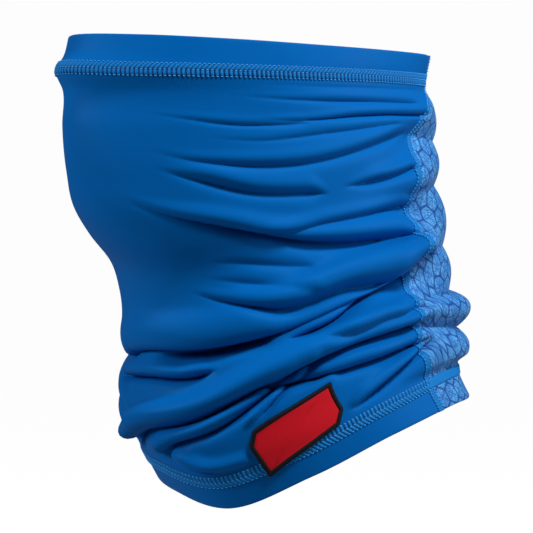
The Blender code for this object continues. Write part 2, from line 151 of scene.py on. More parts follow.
# Folds of the cloth. Each crease runs through four places; its ridge stands above it by
# width. Width, ridge, valley and lap (how far the ridge hangs over the crease) are shares
# of FOLD_SIZE; lead is the share of its length over which it comes in
# turn and drop of the start, two places between and the end, width, ridge, valley, lap, lead
FOLDS = (
    (56, 0.098, 80, 0.104, 110, 0.106, 140, 0.104, 0.30, 0.03, 0.11, 0.0, 0.5),
    (58, 0.128, 80, 0.141, 108, 0.145, 138, 0.147, 0.32, 0.06, 0.18, 0.0, 0.5),
    (66, 0.186, 85, 0.190, 100, 0.181, 142, 0.174, 0.30, 0.13, 0.60, 0.1, 0.6),
    (28, 0.162, 45, 0.180, 60, 0.197, 86, 0.200, 0.30, 0.05, 0.15, 0.0, 0.6),
    (48, 0.218, 68, 0.236, 90, 0.226, 124, 0.200, 0.40, 0.07, 0.16, 0.0, 0.6),
    (30, 0.238, 50, 0.276, 78, 0.300, 128, 0.222, 0.52, 0.15, 0.38, 0.0, 0.5),
    (34, 0.280, 50, 0.318, 65, 0.355, 90, 0.380, 0.58, 0.16, 0.42, 0.0, 0.4),
    (94, 0.368, 104, 0.362, 114, 0.352, 128, 0.325, 0.45, 0.20, 0.50, 0.0, 0.4),
    (48, 0.420, 68, 0.448, 88, 0.450, 128, 0.432, 0.42, 0.16, 0.40, 0.0, 0.5),
    (22, 0.345, 50, 0.415, 80, 0.492, 128, 0.517, 0.70, 0.42, 0.85, 0.1, 0.4),
    (42, 0.486, 52, 0.500, 62, 0.518, 78, 0.548, 0.50, 0.06, 0.16, 0.0, 0.5),
    (38, 0.512, 50, 0.540, 60, 0.562, 78, 0.592, 0.50, 0.06, 0.16, 0.0, 0.5),
    (32, 0.540, 60, 0.605, 88, 0.590, 136, 0.566, 0.60, 0.50, 1.15, 0.3, 0.35),
    (-20, 0.700, 28, 0.648, 60, 0.655, 124, 0.585, 0.90, 0.50, 1.40, 0.8, 0.13),
    (8, 0.692, 28, 0.674, 42, 0.671, 62, 0.668, 0.80, 0.00, 1.70, 0.0, 0.3),
    (62, 0.694, 80, 0.684, 96, 0.640, 118, 0.606, 0.50, 0.35, 1.10, 0.1, 0.2),
    (70, 0.705, 84, 0.718, 97, 0.713, 118, 0.716, 0.45, 0.34, 0.60, 0.0, 0.3),
    (-28, 0.770, -6, 0.752, 12, 0.735, 38, 0.712, 0.50, 0.40, 0.95, 0.1, 0.15),
    (-24, 0.920, 18, 0.822, 60, 0.762, 120, 0.748, 0.70, 0.85, 1.80, 0.4, 0.12),
    (2, 0.912, 25, 0.852, 42, 0.826, 64, 0.772, 0.50, 0.50, 1.40, 0.2, 0.15),
    (44, 0.880, 52, 0.850, 61, 0.800, 74, 0.758, 0.50, 0.36, 0.60, 0.0, 0.2),
    (50, 0.768, 72, 0.796, 92, 0.808, 118, 0.800, 0.60, 0.50, 1.50, 0.3, 0.2),
    (76, 0.916, 92, 0.888, 105, 0.853, 120, 0.804, 0.45, 0.34, 0.65, 0.0, 0.25),
    (2, 0.915, 18, 0.906, 32, 0.932, 54, 0.940, 0.50, 0.55, 1.10, 0.2, 0.2),
    (-48, 0.176, -80, 0.160, -110, 0.152, -136, 0.150, 0.45, 0.16, 0.26, 0.0, 0.4),
    (-34, 0.250, -70, 0.280, -100, 0.262, -136, 0.230, 0.60, 0.22, 0.34, 0.0, 0.4),
    (-34, 0.350, -65, 0.392, -95, 0.412, -134, 0.400, 0.50, 0.24, 0.40, 0.0, 0.4),
    (-24, 0.380, -60, 0.462, -90, 0.512, -132, 0.522, 0.60, 0.36, 0.56, 0.1, 0.4),
    (-34, 0.558, -65, 0.606, -95, 0.588, -142, 0.570, 0.65, 0.48, 0.70, 0.3, 0.3),
    (-1, 0.700, -30, 0.716, -70, 0.700, -130, 0.650, 0.95, 0.25, 1.30, 0.6, 0.15),
    (2, 0.862, -25, 0.806, -70, 0.756, -128, 0.745, 0.70, 0.44, 0.70, 0.3, 0.2),
    (-46, 0.802, -72, 0.830, -95, 0.832, -124, 0.806, 0.55, 0.38, 0.70, 0.2, 0.25),
    (-2, 0.912, -22, 0.872, -40, 0.836, -58, 0.790, 0.50, 0.30, 0.46, 0.0, 0.2),
    (-28, 0.925, -60, 0.898, -88, 0.900, -122, 0.872, 0.45, 0.28, 0.46, 0.0, 0.25),
)

TAPER = 0.45
STEP_TURN = 0.05
STEP_DROP = 0.0004

# Camera: metres of the object for each pixel of a 533 pixel square picture
PICTURE_SIZE = 533
PIXEL = 0.000575
CAMERA_TURN = 58.0
CAMERA_DISTANCE = 2.0
ORIGIN_PIXEL = (250.0, 41.0)
SENSOR = 0.036

# Name, place as aside, near and high of the middle, size, power and colour of each light
LIGHTS = (
    ("key", (0.7, 0.8, 1.3), (0.35, 0.35), 23.5, (1.0, 1.0, 1.0)),
    ("side", (1.6, 0.2, 0.5), (0.35, 0.7), 9.5, (1.0, 1.0, 1.0)),
    ("rim", (-1.5, 0.5, 0.6), (0.35, 0.7), 14.5, (1.0, 1.0, 1.0)),
)
WORLD_LIGHT = 0.06
SKY_SEEN = 0.98
FLOOR_GLOW = 0.96
FLOOR_LEVEL = -0.48
FLOOR_REACH = 14.0

# Flat sizes of the cloth in metres: across and down
TOP_HEM_FLATS = ((0.44, 0.0205), (0.17, 0.0205))
BOTTOM_HEM_FLATS = ((0.40, 0.0170), (0.19, 0.0190))

# Counts of points
BLUR_REACH = 8
RIM_ROWS = 5
HEM_ROWS = 10
STITCH_STEPS = 9
STITCH_COLUMNS = 15
DASH = np.linspace(0.24, 0.76, 5)
NEEDLE_SIDES = 6
SEAM_STEPS = 7
SEAM_COLUMNS = 17
OUTLINE_POINTS = 420
FACE_RINGS = 30
BORDER_ROWS = 11
STITCH_RISE = 0.0011
SEAM_RISE = 0.0008
DASH_RISE = 0.0003
DASH_ARCH = 0.0004
STITCH_SHARES = {"top": 0.88, "bottom": 0.76}
# Share of the ridge colour kept in each cover stitch's grooves; the rest there is painted shade
GROOVE_UNSHADED_SHARES = {"top": 0.0, "bottom": 0.4}


def smooth_column(places, values, at, period=None):
    """Cubic through every row of a table: Hermite steps with the rows' own mean slopes."""
    places = np.asarray(places, float)
    values = np.asarray(values, float)
    if period:
        at = np.mod(at, period)
        places = np.concatenate([places - period, places, places + period])
        values = np.concatenate([values, values, values])
    at = np.clip(at, places[0], places[-1])
    slopes = np.gradient(values, places)
    i = np.clip(np.searchsorted(places, at, side="right") - 1, 0, len(places) - 2)
    span = places[i + 1] - places[i]
    t = (at - places[i]) / span
    return (
        (2 * t**3 - 3 * t**2 + 1) * values[i]
        + (t**3 - 2 * t**2 + t) * span * slopes[i]
        + (3 * t**2 - 2 * t**3) * values[i + 1]
        + (t**3 - t**2) * span * slopes[i + 1]
    )


def column(table, value, at, period=None):
    """The value column of a table against its first column, as a smooth curve."""
    rows = np.array(table, float)
    return smooth_column(rows[:, 0], rows[:, value], at, period)


def ease(x):
    """Three x squared less two x cubed: from 0 at x = 0 smoothly to 1 at x = 1."""
    x = np.clip(x, 0.0, 1.0)
    return x * x * (3 - 2 * x)


def wrapped(turn):
    """A turn as an angle from -180 to 180."""
    return np.mod(turn + 180.0, 360.0) - 180.0


def height(turn):
    """Distance from the top edge to the bottom edge at a turn."""
    return LENGTH * column(EDGES, 2, turn, 360) - TOP_DIP * column(EDGES, 1, turn, 360)


def form(turn, drop):
    """The tube without folds: an ellipse at each drop, its front and back reach apart, plus a
    bell of the nose's height around turn 0, and z falling evenly from one edge to the other."""
    angle = np.radians(turn)
    half_width = HALF_WIDTH * column(SECTIONS, 1, drop)
    front = FRONT_REACH * column(SECTIONS, 2, drop)
    back = BACK_REACH * column(SECTIONS, 3, drop)
    nose = NOSE_BUMP * column(SECTIONS, 4, drop)
    x = half_width * np.sin(angle)
    y = (back - front) / 2 - (back + front) / 2 * np.cos(angle)
    y = y - nose * np.exp(-((wrapped(turn) / NOSE_SPREAD) ** 2))
    z = -TOP_DIP * column(EDGES, 1, turn, 360) - height(turn) * drop
    return np.stack([x, y, z], axis=-1)


def normal_of(surface, turn, drop):
    """Cross product of the surface's steps down and along, at length 1, away from the head."""
    along = surface(turn + STEP_TURN, drop) - surface(turn - STEP_TURN, drop)
    down = surface(turn, drop + STEP_DROP) - surface(turn, drop - STEP_DROP)
    normal = np.cross(down, along)
    return normal / np.linalg.norm(normal, axis=-1, keepdims=True)


def near_seam(drop):
    """Turn of the seam on the wearer's left."""
    return column(SEAM_LINE, 1, drop)


def far_seam(drop):
    """Turn of the seam on the wearer's right, past the back panel."""
    return near_seam(drop) + BACK_PANEL_ANGLE


def top_stitch(turn):
    """Drop of the middle of the top cover stitch."""
    return TOP_HEM / LENGTH + 0.0 * turn


def bottom_stitch(turn):
    """Drop of the middle of the bottom cover stitch, a little higher at the back."""
    rise = ease((np.abs(wrapped(turn)) - 50.0) / 100.0)
    return 1.0 - BOTTOM_HEM / LENGTH * (1.0 + 0.45 * rise)


def fold_reach(turn, drop):
    """Sum over the folds of a bell of ridge height one width above the crease, less a
    narrow peaked bell of valley depth on it, and a downward slide bell between the two. A
    fold eases in over its lead and out over its last eighth, and narrows as it does."""
    out = np.zeros(np.broadcast(turn, drop).shape)
    slide = np.zeros_like(out)
    turn = wrapped(turn)
    length = height(turn)
    for row in FOLDS:
        turns = np.array(row[0:8:2], float)
        drops = np.array(row[1:8:2], float)
        width, ridge, valley, lap = (FOLD_SIZE * share for share in row[8:12])
        along = (turn - turns[0]) / (turns[-1] - turns[0])
        fade = ease(along / row[12]) * ease((1 - along) / 0.125)
        order = np.argsort(turns)
        below = (drop - smooth_column(turns[order], drops[order], turn)) * length
        below = below / (width * (TAPER + (1 - TAPER) * fade))
        out += fade * ridge * np.exp(-(((below + 1.0) / 0.8) ** 2))
        out -= fade * valley * np.exp(-((np.abs(below) / 0.45) ** 1.3))
        slide += fade * lap * np.exp(-(((below + 0.6) / 0.6) ** 2))
    return out, slide


def back_reach(turn, drop):
    """Half sine waves between the back panel's pinches, with the pinches and the heights
    bent through their near, middle and far values, plus a bell of sway at each seam."""
    turn = np.mod(turn, 360.0)
    across = (turn - near_seam(drop)) / BACK_PANEL_ANGLE
    rows = np.array(BACK_ROLLS, float)
    bend = np.clip(across, 0.0, 1.0)
    weight = np.stack([(1 - bend) * (1 - 2 * bend), 4 * bend * (1 - bend), bend * (2 * bend - 1)])
    roll = np.zeros(np.broadcast(turn, drop).shape)
    for upper, lower in zip(rows[:-1], rows[1:]):
        start = np.tensordot(upper[0:3], weight, 1)
        end = np.tensordot(lower[0:3], weight, 1)
        share = np.clip((drop - start) / (end - start), 0.0, 1.0)
        roll += BACK_ROLL * np.tensordot(upper[3:6], weight, 1) * np.sin(np.pi * share) ** 0.9
    roll *= ease((across + 0.12) / 0.2) * ease((1.12 - across) / 0.2)
    near_sway = FOLD_SIZE * column(SEAM_LINE, 2, drop)
    far_sway = FOLD_SIZE * column(SEAM_LINE, 3, drop)
    sway = near_sway * np.exp(-((across / 0.13) ** 2))
    return roll + sway + far_sway * np.exp(-(((across - 1.0) / 0.13) ** 2))


def patch_frame():
    """Turn and drop of a metre along the patch and across it, as the columns of a matrix:
    the inverse of the form's own steps, times the patch's two tilted directions."""
    turn = np.array(PATCH_TURN)
    drop = np.array(PATCH_DROP)
    sideways = (form(turn + STEP_TURN, drop) - form(turn - STEP_TURN, drop)) / (2 * STEP_TURN)
    down = (form(turn, drop + STEP_DROP) - form(turn, drop - STEP_DROP)) / (2 * STEP_DROP)
    normal = np.cross(down, sideways)
    normal = normal / np.linalg.norm(normal)
    level = np.cross((0.0, 0.0, 1.0), normal)
    level = level / np.linalg.norm(level)
    upright = np.cross(normal, level)
    tilt = np.radians(PATCH_TILT)
    long_way = np.cos(tilt) * level + np.sin(tilt) * upright
    short_way = -np.sin(tilt) * level + np.cos(tilt) * upright
    steps = np.linalg.pinv(np.stack([sideways, down], axis=1))
    return steps @ np.stack([long_way, short_way], axis=1)


def patch_calm(turn, drop):
    """0 on the cloth that the patch holds flat and on its margin, easing to 1 beyond them."""
    offset = np.stack(np.broadcast_arrays(wrapped(turn) - PATCH_TURN, drop - PATCH_DROP), axis=-1)
    place = np.abs(offset @ np.linalg.inv(patch_frame()).T)
    beyond = np.maximum(place - (PATCH_LENGTH / 2, PATCH_WIDTH / 2), 0.0)
    return ease((np.linalg.norm(beyond, axis=-1) - PATCH_MARGIN) / PATCH_CALM)


def cloth(turn, drop):
    """The form, slid down by the folds' lap and moved out along its normal by the folds and
    the back rolls, all of which fade out at the two cover stitches."""
    out, slide = fold_reach(turn, drop)
    calm = patch_calm(turn, drop)
    half = STITCH_WIDTH / 2 / height(turn)
    hem = ease((drop - top_stitch(turn) - half) / HEM_FADE)
    hem = hem * ease((bottom_stitch(turn) - half - drop) / HEM_FADE)
    out = (out * calm + back_reach(turn, drop)) * hem
    slide = slide * calm * hem
    point = form(turn, drop + slide / height(turn))
    return point + normal_of(form, turn, drop) * out[..., None]


def front_turn(share, drop):
    """Turn of a place across the front panel, from the far seam to the near one."""
    return far_seam(drop) - 360.0 + share * (360.0 - BACK_PANEL_ANGLE)


def back_turn(share, drop):
    """Turn of a place across the back panel, from the near seam to the far one."""
    return near_seam(drop) + share * BACK_PANEL_ANGLE


def grid_normals(points):
    """Normals of a grid of points: the cross product of its steps down and along."""
    down = np.gradient(points, axis=0)
    along = np.gradient(points, axis=1)
    normal = np.cross(down, along)
    return normal / np.linalg.norm(normal, axis=-1, keepdims=True)


def arc_lengths(points, axis):
    """Running length along one way of a grid of points."""
    steps = np.linalg.norm(np.diff(points, axis=axis), axis=-1)
    start = np.zeros_like(np.take(steps, [0], axis=axis))
    return np.concatenate([start, np.cumsum(steps, axis=axis)], axis=axis)


def grid_faces(rows, columns, closed, first, flip):
    """Corner numbers of a grid's squares, numbered from first along each row."""
    i = np.arange(rows - 1)[:, None]
    j = np.arange(columns if closed else columns - 1)[None, :]
    k = (j + 1) % columns
    faces = np.stack([i * columns + j, i * columns + k, (i + 1) * columns + k, (i + 1) * columns + j], axis=-1)
    faces = faces.reshape(-1, 4) + first
    return faces[:, ::-1] if flip else faces


def new_piece(name, points, faces, material, uvs=None, masks=None):
    """An object from points, four-cornered faces, a place on the flat cloth for each point
    and named numbers for each point."""
    mesh = bpy.data.meshes.new(name)
    mesh.vertices.add(len(points))
    mesh.vertices.foreach_set("co", np.asarray(points, np.float32).ravel())
    mesh.loops.add(faces.size)
    mesh.loops.foreach_set("vertex_index", faces.astype(np.int32).ravel())
    mesh.polygons.add(len(faces))
    mesh.polygons.foreach_set("loop_start", np.arange(0, faces.size, 4, dtype=np.int32))
    mesh.update(calc_edges=True)
    if uvs is not None:
        layer = mesh.uv_layers.new(name="cloth")
        layer.data.foreach_set("uv", np.asarray(uvs, np.float32)[faces.ravel()].ravel())
    for key, values in (masks or {}).items():
        attribute = mesh.attributes.new(name=key, type="FLOAT", domain="POINT")
        attribute.data.foreach_set("value", np.asarray(values, np.float32))
    mesh.shade_smooth()
    mesh.materials.append(material)
    mesh.validate()
    piece = bpy.data.objects.new(name, mesh)
    bpy.context.scene.collection.objects.link(piece)
    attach(piece, "root")
    return piece


def down_the_cloth(points):
    """Length down each column of a grid of points, averaged over its neighbours."""
    down = arc_lengths(points, 0)
    around = np.pad(down, ((0, 0), (BLUR_REACH, BLUR_REACH)), "edge")
    sums = np.cumsum(np.pad(around, ((0, 0), (1, 0))), axis=1)
    width = 2 * BLUR_REACH + 1
    return (sums[:, width:] - sums[:, :-width]) / width


def shell_faces(rows, columns, closed):
    """Faces of two grids of points, an outer one and an inner one, joined round their rims."""
    count = rows * columns
    faces = [grid_faces(rows, columns, closed, 0, False)]
    faces.append(grid_faces(rows, columns, closed, count, True))
    j = np.arange(columns if closed else columns - 1)
    k = (j + 1) % columns
    last = (rows - 1) * columns
    faces.append(np.stack([j, j + count, k + count, k], axis=-1))
    faces.append(np.stack([last + k, last + k + count, last + j + count, last + j], axis=-1))
    if not closed:
        i = np.arange(rows - 1) * columns
        far = i + columns - 1
        faces.append(np.stack([i + columns, i + columns + count, i + count, i], axis=-1))
        faces.append(np.stack([far, far + count, far + columns + count, far + columns], axis=-1))
    return np.concatenate(faces)


def closed_normals(points):
    """Normals of a grid whose last column meets its first."""
    wide = np.concatenate([points[:, -1:], points, points[:, :1]], axis=1)
    return grid_normals(wide)[:, 1:-1]


def cloth_shell(name, turns, drops, outer, inner, material):
    """A closed shell: the cloth's grid moved along its normals to an outer and an inner
    offset, with its place on the flat cloth as lengths along and down the grid."""
    middle = cloth(turns, drops)
    normals = grid_normals(middle)
    along = arc_lengths(middle, 1).mean(axis=0)[None, :] + 0.0 * turns
    flat = np.stack([along, down_the_cloth(middle)], axis=-1).reshape(-1, 2)
    high = middle + normals * outer
    low = middle + normals * inner
    points = np.concatenate([high.reshape(-1, 3), low.reshape(-1, 3)])
    faces = shell_faces(*turns.shape, False)
    return new_piece(name, points, faces, material, np.concatenate([flat, flat]))


def tubes(paths, ups, radius, sides, first):
    """Round tubes along many paths of as many points: rings of sides points at a radius that
    swells to its full size in the middle of each path, set square to the path."""
    along = np.gradient(paths, axis=1)
    along = along / np.linalg.norm(along, axis=-1, keepdims=True)
    side = np.cross(along, ups)
    side = side / np.linalg.norm(side, axis=-1, keepdims=True)
    up = np.cross(side, along)
    angle = np.linspace(0.0, 2 * np.pi, sides, endpoint=False)
    swell = np.sin(np.linspace(0.12, 0.88, paths.shape[1]) * np.pi) ** 0.5
    ring = side[:, :, None] * np.cos(angle)[:, None] + up[:, :, None] * np.sin(angle)[:, None]
    points = paths[:, :, None] + ring * (radius * swell)[None, :, None, None]
    each = paths.shape[1] * sides
    faces = grid_faces(paths.shape[1], sides, True, 0, False)
    faces = faces[None] + (np.arange(len(paths)) * each)[:, None, None]
    return points.reshape(-1, 3), faces.reshape(-1, 4) + first


def ridge_pattern(phase, power):
    """Rounded ridges, one for each whole number of phase, as a power of half a sine."""
    return np.abs(np.sin(np.pi * phase)) ** power


class ShaderNodes:
    """Short ways to add nodes to one node tree."""

    def __init__(self, tree):
        self.tree = tree
        tree.nodes.clear()

    def add(self, kind, **settings):
        node = self.tree.nodes.new(kind)
        for key, value in settings.items():
            setattr(node, key, value)
        return node

    def feed(self, socket, value):
        if isinstance(value, bpy.types.NodeSocket):
            self.tree.links.new(value, socket)
        elif value is not None:
            socket.default_value = value

    def math(self, operation, *values):
        node = self.add("ShaderNodeMath", operation=operation)
        for socket, value in zip(node.inputs, values):
            self.feed(socket, value)
        return node.outputs[0]

    def vector(self, operation, *values):
        node = self.add("ShaderNodeVectorMath", operation=operation)
        for socket, value in zip(node.inputs, values):
            self.feed(socket, value)
        return node.outputs["Value" if operation in ("DOT_PRODUCT", "LENGTH") else "Vector"]

    def blend(self, share, low, high):
        node = self.add("ShaderNodeMix", data_type="RGBA")
        self.feed(node.inputs["Factor"], share)
        self.feed(node.inputs[6], low)
        self.feed(node.inputs[7], high)
        return node.outputs[2]

    def range(self, value, low, high, to_low=0.0, to_high=1.0):
        node = self.add("ShaderNodeMapRange", interpolation_type="SMOOTHSTEP")
        for key, item in (("Value", value), ("From Min", low), ("From Max", high)):
            self.feed(node.inputs[key], item)
        self.feed(node.inputs["To Min"], to_low)
        self.feed(node.inputs["To Max"], to_high)
        return node.outputs["Result"]

    def noise(self, vector, scale, detail=2.0, roughness=0.5):
        node = self.add("ShaderNodeTexNoise")
        self.feed(node.inputs["Vector"], vector)
        node.inputs["Scale"].default_value = scale
        node.inputs["Detail"].default_value = detail
        node.inputs["Roughness"].default_value = roughness
        return node.outputs["Fac"]

    def flat_place(self):
        return self.add("ShaderNodeUVMap", uv_map="cloth").outputs["UV"]

    def use(self, group, **inputs):
        node = self.add("ShaderNodeGroup", node_tree=group)
        for key, value in inputs.items():
            self.feed(node.inputs[key], value)
        return node


def node_group(name, inputs, outputs):
    """An empty shader node group with float inputs (with defaults) and float outputs."""
    tree = bpy.data.node_groups.new(name, "ShaderNodeTree")
    for key, value in inputs.items():
        socket = tree.interface.new_socket(name=key, in_out="INPUT", socket_type="NodeSocketFloat")
        socket.default_value = value
    for key in outputs:
        tree.interface.new_socket(name=key, in_out="OUTPUT", socket_type="NodeSocketFloat")
    nodes = ShaderNodes(tree)
    return tree, nodes, nodes.add("NodeGroupInput"), nodes.add("NodeGroupOutput")


def knit_group():
    """Height of a jersey knit: columns of loops that lean left and right by turns, so each
    loop's ridge is a sine across the columns, shifted by a triangle wave down them."""
    tree, nodes, given, out = node_group("knit_loops", {"Columns": 1600.0}, ("Height",))
    parts = nodes.add("ShaderNodeSeparateXYZ")
    nodes.feed(parts.inputs[0], nodes.flat_place())
    across = nodes.math("MULTIPLY", parts.outputs["X"], given.outputs["Columns"])
    down = nodes.math("MULTIPLY", parts.outputs["Y"], given.outputs["Columns"])
    lean = nodes.math("PINGPONG", down, 0.5)
    wave = nodes.math("SINE", nodes.math("MULTIPLY", nodes.math("ADD", across, lean), 2 * np.pi))
    row = nodes.math("SINE", nodes.math("MULTIPLY", down, 2 * np.pi))
    total = nodes.math("ADD", nodes.math("MULTIPLY", wave, 0.35), nodes.math("MULTIPLY", row, 0.15))
    nodes.feed(out.inputs["Height"], nodes.math("ADD", total, 0.5))
    return tree


def heather_group():
    """Mask of flecks of lighter yarn: two noises drawn out along the courses of the knit."""
    tree, nodes, given, out = node_group("heather_flecks", {"Length": 1.0}, ("Fleck",))
    stretch = nodes.add("ShaderNodeCombineXYZ")
    nodes.feed(stretch.inputs["X"], nodes.math("DIVIDE", 700.0, given.outputs["Length"]))
    stretch.inputs["Y"].default_value = 1500.0
    place = nodes.vector("MULTIPLY", nodes.flat_place(), stretch.outputs[0])
    fine = nodes.noise(place, 1.0, 1.0)
    broad = nodes.noise(nodes.flat_place(), 260.0, 2.0)
    mixed = nodes.math("ADD", nodes.math("MULTIPLY", fine, 0.75), nodes.math("MULTIPLY", broad, 0.25))
    nodes.feed(out.inputs["Fleck"], nodes.range(mixed, 0.38, 0.62))
    return tree


def cell_group():
    """A print of six-sided cells split into triangles. The nearer of two offset grids gives
    the place in a cell; Edge is near 1 close to a side and Spoke close to a diagonal."""
    inputs = {"Cell": 0.0125, "Edge Width": 0.0011, "Spoke Width": 0.0006}
    tree, nodes, given, out = node_group("cell_print", inputs, ("Edge", "Spoke", "Facet"))
    scaled = nodes.add("ShaderNodeVectorMath", operation="SCALE")
    nodes.feed(scaled.inputs["Vector"], nodes.flat_place())
    nodes.feed(scaled.inputs["Scale"], nodes.math("DIVIDE", 1.0, given.outputs["Cell"]))
    place = scaled.outputs["Vector"]
    step = (1.0, 3**0.5, 1.0)
    half = (0.5, 3**0.5 / 2, 0.5)
    first = nodes.vector("SUBTRACT", nodes.vector("WRAP", place, step, (0.0, 0.0, 0.0)), half)
    moved = nodes.vector("SUBTRACT", place, half)
    second = nodes.vector("SUBTRACT", nodes.vector("WRAP", moved, step, (0.0, 0.0, 0.0)), half)
    flat = (1.0, 1.0, 0.0)
    first = nodes.vector("MULTIPLY", first, flat)
    second = nodes.vector("MULTIPLY", second, flat)
    nearer = nodes.math(
        "LESS_THAN", nodes.vector("LENGTH", first), nodes.vector("LENGTH", second)
    )
    pick = nodes.add("ShaderNodeMix", data_type="VECTOR")
    nodes.feed(pick.inputs["Factor"], nearer)
    nodes.feed(pick.inputs[4], second)
    nodes.feed(pick.inputs[5], first)
    local = pick.outputs[1]
    reach = None
    spoke = None
    for k in range(3):
        side = np.radians(60.0 * k)
        across = nodes.vector("DOT_PRODUCT", local, (np.cos(side), np.sin(side), 0.0))
        across = nodes.math("ABSOLUTE", across)
        reach = across if reach is None else nodes.math("MAXIMUM", reach, across)
        ray = np.radians(60.0 * k)
        beside = nodes.vector("DOT_PRODUCT", local, (-np.sin(ray + 0.5236), np.cos(ray + 0.5236), 0.0))
        beside = nodes.math("ABSOLUTE", beside)
        spoke = beside if spoke is None else nodes.math("MINIMUM", spoke, beside)
    edge = nodes.math("MULTIPLY", nodes.math("SUBTRACT", 0.5, reach), given.outputs["Cell"])
    spoke = nodes.math("MULTIPLY", spoke, given.outputs["Cell"])
    nodes.feed(
        out.inputs["Edge"],
        nodes.range(nodes.math("DIVIDE", edge, given.outputs["Edge Width"]), 0.3, 1.0, 1.0, 0.0),
    )
    nodes.feed(
        out.inputs["Spoke"],
        nodes.range(nodes.math("DIVIDE", spoke, given.outputs["Spoke Width"]), 0.3, 1.0, 1.0, 0.0),
    )
    nodes.feed(out.inputs["Facet"], nodes.noise(nodes.vector("SCALE", place), 0.9, 0.0))
    return tree


def new_material(name, **constants):
    """A material with one Principled shader and its constants, and its node helper."""
    material = bpy.data.materials.new(name)
    material.use_nodes = True
    nodes = ShaderNodes(material.node_tree)
    shader = nodes.add("ShaderNodeBsdfPrincipled")
    output = nodes.add("ShaderNodeOutputMaterial")
    nodes.feed(output.inputs["Surface"], shader.outputs[0])
    for key, value in constants.items():
        shader.inputs[key.replace("_", " ")].default_value = value
    return material, nodes, shader


def bumped(nodes, shader, height_socket, distance, strength=1.0):
    """Feeds a height to the shader's normal through one Bump node."""
    bump = nodes.add("ShaderNodeBump")
    bump.inputs["Strength"].default_value = strength
    bump.inputs["Distance"].default_value = distance
    nodes.feed(bump.inputs["Height"], height_socket)
    nodes.feed(shader.inputs["Normal"], bump.outputs["Normal"])


def front_material(colours, groups):
    """Smooth, slightly shiny jersey: two close blues in a soft cloud, and fine loops."""
    material, nodes, shader = new_material(
        "front_knit_cloth", Roughness=0.5, Sheen_Weight=0.01, Sheen_Roughness=0.4
    )
    shader.inputs["Sheen Tint"].default_value = (0.02, 0.35, 1.0, 1.0)
    shader.inputs["Specular Tint"].default_value = (0.01, 0.35, 1.0, 1.0)
    shader.inputs["Specular IOR Level"].default_value = 0.15
    cloud = nodes.noise(nodes.flat_place(), 9.0, 3.0)
    grain = nodes.noise(nodes.flat_place(), 1400.0, 1.0)
    share = nodes.math("ADD", nodes.math("MULTIPLY", cloud, 0.6), nodes.math("MULTIPLY", grain, 0.4))
    share = nodes.range(share, 0.3, 0.7)
    nodes.feed(shader.inputs["Base Color"], nodes.blend(share, tuple(colours.front_deep), tuple(colours.front)))
    nodes.feed(shader.inputs["Roughness"], nodes.range(cloud, 0.3, 0.7, 0.46, 0.56))
    loops = nodes.use(groups["knit"], Columns=1500.0).outputs["Height"]
    bumped(nodes, shader, loops, 0.00004, 0.5)
    return material


def back_material(colours, groups):
    """Heathered knit with the printed cells: yarn flecks, thin spokes and wider cell sides."""
    material, nodes, shader = new_material(
        "back_knit_cloth", Roughness=0.65, Sheen_Weight=0.05, Sheen_Roughness=0.4
    )
    shader.inputs["Specular IOR Level"].default_value = 0.25
    fleck = nodes.use(groups["heather"], Length=1.6).outputs["Fleck"]
    cells = nodes.use(groups["cells"])
    ground = nodes.blend(fleck, tuple(colours.back_deep), tuple(colours.back))
    facet = nodes.range(cells.outputs["Facet"], 0.40, 0.60, 0.0, 0.5)
    ground = nodes.blend(facet, ground, tuple(colours.back_deep))
    spoke = nodes.math("MULTIPLY", cells.outputs["Spoke"], 0.55)
    ground = nodes.blend(spoke, ground, tuple(colours.print_line))
    edge = nodes.math("MULTIPLY", cells.outputs["Edge"], 0.9)
    nodes.feed(shader.inputs["Base Color"], nodes.blend(edge, ground, tuple(colours.print_line)))
    loops = nodes.use(groups["knit"], Columns=1100.0).outputs["Height"]
    bumped(nodes, shader, loops, 0.0001, 0.7)
    return material


def thread_material(name, low, high, groups):
    """Thread: its colour runs from the groove colour, painted shade, to the ridge's colour by the share stored on the
    piece.
    """
    material, nodes, shader = new_material(name, Roughness=0.6)
    shader.inputs["Specular Tint"].default_value = (0.15, 0.50, 1.0, 1.0)
    shader.inputs["Specular IOR Level"].default_value = 0.4
    ridge = nodes.add("ShaderNodeAttribute", attribute_name="ridge").outputs["Fac"]
    # Where the stored share is low, the darker groove colour paints shade into the grooves
    nodes.feed(shader.inputs["Base Color"], nodes.blend(ridge, tuple(low), tuple(high)))
    loops = nodes.use(groups["knit"], Columns=2600.0).outputs["Height"]
    bumped(nodes, shader, loops, 0.00005, 0.5)
    return material


def woven_material(name, colour, shade, columns, distance):
    """A plain weave: two crossed sine waves in height, and colour darker in the weave's hollows as painted shade,
    mixed with a soft random cloud of tone.
    """
    material, nodes, shader = new_material(name, Roughness=0.6)
    shader.inputs["Specular IOR Level"].default_value = 0.15
    parts = nodes.add("ShaderNodeSeparateXYZ")
    nodes.feed(parts.inputs[0], nodes.flat_place())
    warp = nodes.math("SINE", nodes.math("MULTIPLY", parts.outputs["X"], columns[0] * 2 * np.pi))
    weft = nodes.math("SINE", nodes.math("MULTIPLY", parts.outputs["Y"], columns[1] * 2 * np.pi))
    weave = nodes.math("MULTIPLY", nodes.math("ADD", warp, weft), 0.25)
    weave = nodes.math("ADD", weave, 0.5)
    cloud = nodes.noise(nodes.flat_place(), 220.0, 3.0)
    share = nodes.math("ADD", nodes.math("MULTIPLY", weave, 0.5), nodes.math("MULTIPLY", cloud, 0.5))
    # The darker copy of the colour is painted shade in the weave's hollows, mixed with a random cloud
    nodes.feed(shader.inputs["Base Color"], nodes.blend(share, tuple(shade), tuple(colour)))
    bumped(nodes, shader, weave, distance, 0.8)
    return material


